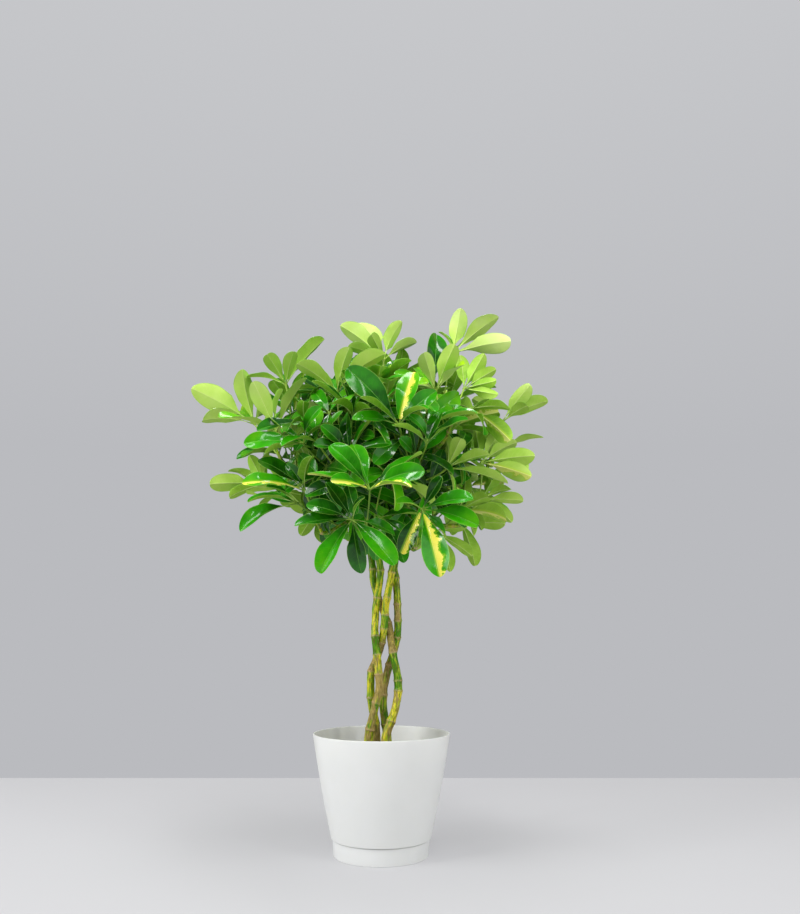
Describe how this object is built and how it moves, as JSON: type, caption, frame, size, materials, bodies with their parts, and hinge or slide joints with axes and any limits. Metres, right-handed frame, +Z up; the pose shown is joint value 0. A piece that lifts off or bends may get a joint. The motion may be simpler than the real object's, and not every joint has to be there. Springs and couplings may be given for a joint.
{
  "type": "potted schefflera",
  "caption": "Schefflera trained as a small tree on braided stems, with a round crown of palmate leaves, in a tapered white pot that stands in its own saucer.",
  "frame": {"origin": "middle of the saucer's flat underside, where the part stands on a surface", "axes": "+Z up along the pot's axis, -Y towards the side that the picture shows, +X to its right"},
  "size_m": [0.4795, 0.4417, 0.6929],
  "materials": {
    "white_plastic": "satin off-white moulded polypropylene",
    "potting_soil": "dark brown crumbly peat mix",
    "green_bark": "yellow-green young bark with tan patches",
    "leaf_green": "glossy leathery leaves, some with cream along the middle"
  },
  "bodies": {
    "root": {"saucer": "white_plastic", "pot": "white_plastic", "soil": "potting_soil", "stem_front_left": "green_bark", "stem_front_right": "green_bark", "stem_back_left": "green_bark", "stem_back_right": "green_bark", "leafy_shoot_01": "leaf_green", "leafy_shoot_02": "leaf_green", "leafy_shoot_03": "leaf_green", "leafy_shoot_04": "leaf_green", "leafy_shoot_05": "leaf_green", "leafy_shoot_06": "leaf_green", "leafy_shoot_07": "leaf_green", "leafy_shoot_08": "leaf_green", "leafy_shoot_09": "leaf_green", "leafy_shoot_10": "leaf_green", "leafy_shoot_11": "leaf_green", "leafy_shoot_12": "leaf_green", "leafy_shoot_13": "leaf_green", "leafy_shoot_14": "leaf_green", "leafy_shoot_15": "leaf_green", "leafy_shoot_16": "leaf_green", "leafy_shoot_17": "leaf_green", "leafy_shoot_18": "leaf_green"}
  },
  "joints": []
}
